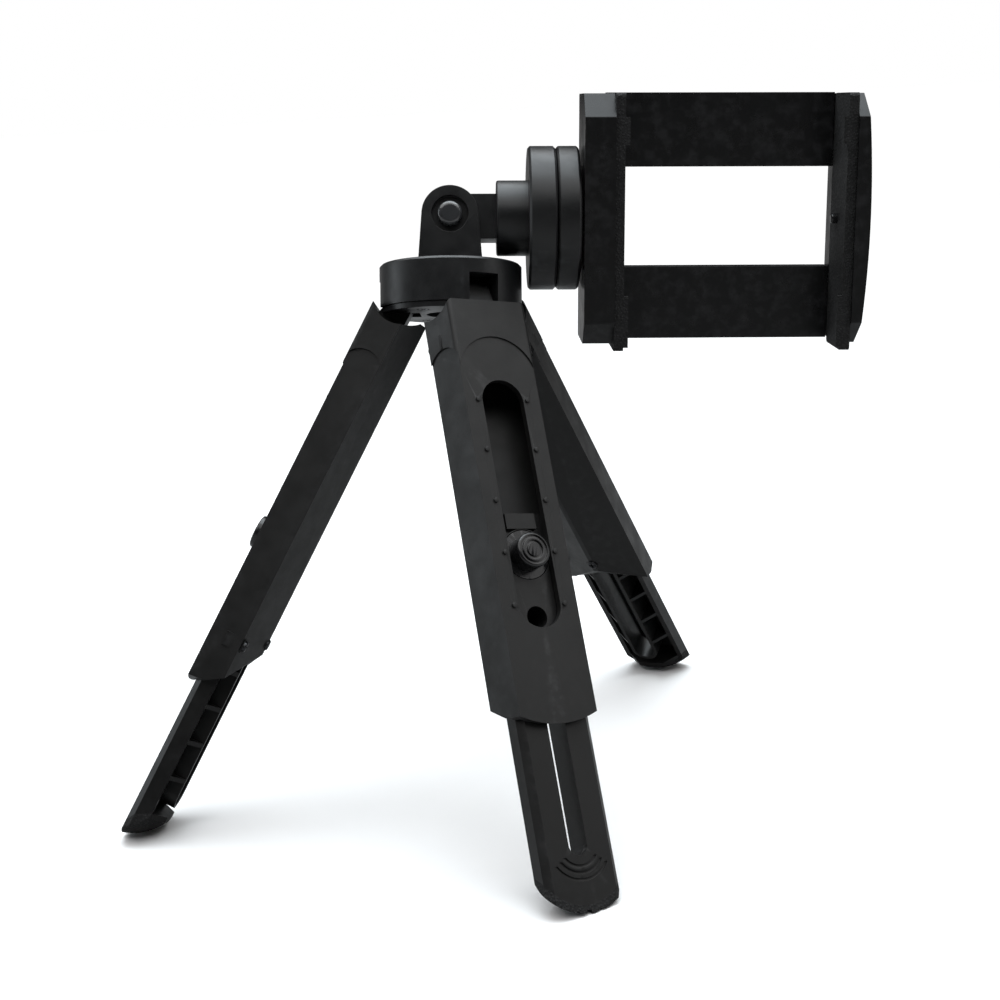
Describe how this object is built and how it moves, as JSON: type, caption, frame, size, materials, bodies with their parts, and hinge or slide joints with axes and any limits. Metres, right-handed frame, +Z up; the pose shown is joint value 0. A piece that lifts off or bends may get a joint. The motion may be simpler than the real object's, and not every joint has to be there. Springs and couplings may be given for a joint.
{
  "type": "mini tabletop tripod with phone clamp",
  "caption": "Mini tabletop tripod with telescoping faceted legs, round hub, tilt head with lock wheel, and a sprung phone clamp with open frame.",
  "frame": {"origin": "middle of the footprint of the whole object, on the floor that its three feet stand on", "axes": "+Z up, +X from the hub towards the phone clamp, -Y towards the side that the phone faces"},
  "size_m": [0.2062, 0.1838, 0.1855],
  "materials": {
    "satin_black": "satin",
    "clamp_black": "satin",
    "gloss_black": "gloss",
    "rubber": "matte",
    "steel": "satin",
    "brass": "satin"
  },
  "bodies": {
    "base": {"hub": "satin_black", "hub_plate": "satin_black", "plate_screws": "steel", "pan_washer": "steel", "front_hinge_pin": "steel", "left_hinge_pin": "steel", "rear_hinge_pin": "steel"},
    "front_leg": {"front_leg_shell": "satin_black", "front_leg_cover": "satin_black", "front_leg_screws": "steel"},
    "front_extension": {"front_leg_extension": "satin_black", "front_foot_pad": "rubber", "front_button_spring": "steel"},
    "front_button": {"front_leg_button": "satin_black"},
    "left_leg": {"left_leg_shell": "satin_black", "left_leg_cover": "satin_black", "left_leg_screws": "steel"},
    "left_extension": {"left_leg_extension": "satin_black", "left_foot_pad": "rubber", "left_button_spring": "steel"},
    "left_button": {"left_leg_button": "satin_black"},
    "rear_leg": {"rear_leg_shell": "satin_black", "rear_leg_cover": "satin_black", "rear_leg_screws": "steel"},
    "rear_extension": {"rear_leg_extension": "satin_black", "rear_foot_pad": "rubber", "rear_button_spring": "steel"},
    "rear_button": {"rear_leg_button": "satin_black"},
    "pan": {"head_fork": "satin_black", "pivot_bolt": "gloss_black", "pivot_nut": "steel", "pan_screw": "steel"},
    "tilt": {"tilt_arm": "satin_black", "camera_stud": "steel"},
    "wheel": {"lock_wheel": "satin_black", "wheel_pad": "rubber"},
    "clamp": {"clamp_frame": "clamp_black", "thread_insert": "brass", "upper_arm_cover": "clamp_black", "lower_arm_cover": "clamp_black", "cover_screws": "steel", "fixed_jaw_pad": "rubber", "upper_clamp_spring": "steel", "lower_clamp_spring": "steel"},
    "jaw": {"moving_jaw": "clamp_black", "moving_jaw_pad": "rubber", "upper_slide_rail": "steel", "lower_slide_rail": "steel", "rail_screws": "steel", "jaw_nub": "gloss_black"}
  },
  "joints": [
    {"name": "front_hinge", "type": "hinge", "parent": "base", "child": "front_leg", "pos_m": [-0.0021, -0.00549, 0.13604], "axis": [-0.8758, -0.4555, 0.1596], "range_deg": [-18.83, 29.17]},
    {"name": "front_slide", "type": "slide", "parent": "front_leg", "child": "front_extension", "axis": [0.1069, -0.5055, -0.8562], "range_m": [-0.0405, 0.0135]},
    {"name": "front_press", "type": "slide", "parent": "front_extension", "child": "front_button", "axis": [-0.4707, 0.7327, -0.4914], "range_m": [0, 0.0015], "stiffness_N_per_m": 1000, "springref_m": -0.001, "deforming": ["front_button_spring"]},
    {"name": "left_hinge", "type": "hinge", "parent": "base", "child": "left_leg", "pos_m": [-0.01984, 0.00519, 0.1343], "axis": [0.0222, 0.9697, -0.2433], "range_deg": [-27, 21]},
    {"name": "left_slide", "type": "slide", "parent": "left_leg", "child": "left_extension", "axis": [-0.4985, -0.2002, -0.8434], "range_m": [-0.0405, 0.0135]},
    {"name": "left_press", "type": "slide", "parent": "left_extension", "child": "left_button", "axis": [0.8666, -0.14, -0.479], "range_m": [0, 0.0015], "stiffness_N_per_m": 1000, "springref_m": -0.001, "deforming": ["left_button_spring"]},
    {"name": "rear_hinge", "type": "hinge", "parent": "base", "child": "rear_leg", "pos_m": [-0.00163, 0.01466, 0.13098], "axis": [0.8536, -0.5142, 0.0836], "range_deg": [-47.59, 0.41]},
    {"name": "rear_slide", "type": "slide", "parent": "rear_leg", "child": "rear_extension", "axis": [0.3485, 0.4443, -0.8253], "range_m": [-0.0405, 0.0135]},
    {"name": "rear_press", "type": "slide", "parent": "rear_extension", "child": "rear_button", "axis": [-0.3872, -0.7336, -0.5585], "range_m": [0, 0.0015], "stiffness_N_per_m": 1000, "springref_m": -0.001, "deforming": ["rear_button_spring"]},
    {"name": "pan_turn", "type": "hinge", "parent": "base", "child": "pan", "pos_m": [-0.0074, 0.00696, 0.14249], "axis": [0.0508, 0.2419, 0.969], "continuous": true},
    {"name": "tilt_turn", "type": "hinge", "parent": "pan", "child": "tilt", "pos_m": [-0.00675, 0.01006, 0.1549], "axis": [0.0127, -0.9703, 0.2416], "range_deg": [0, 90]},
    {"name": "wheel_turn", "type": "hinge", "parent": "tilt", "child": "wheel", "pos_m": [0.0274, 0.01006, 0.15311], "axis": [0.9986, 0, -0.0523], "continuous": true},
    {"name": "clamp_turn", "type": "hinge", "parent": "tilt", "child": "clamp", "pos_m": [0.0282, 0.01006, 0.15307], "axis": [0.9986, 0, -0.0523], "continuous": true},
    {"name": "jaw_slide", "type": "slide", "parent": "clamp", "child": "jaw", "axis": [0.9986, 0, -0.0523], "range_m": [0, 0.028], "stiffness_N_per_m": 150, "springref_m": -0.02, "deforming": ["upper_clamp_spring", "lower_clamp_spring"]}
  ]
}
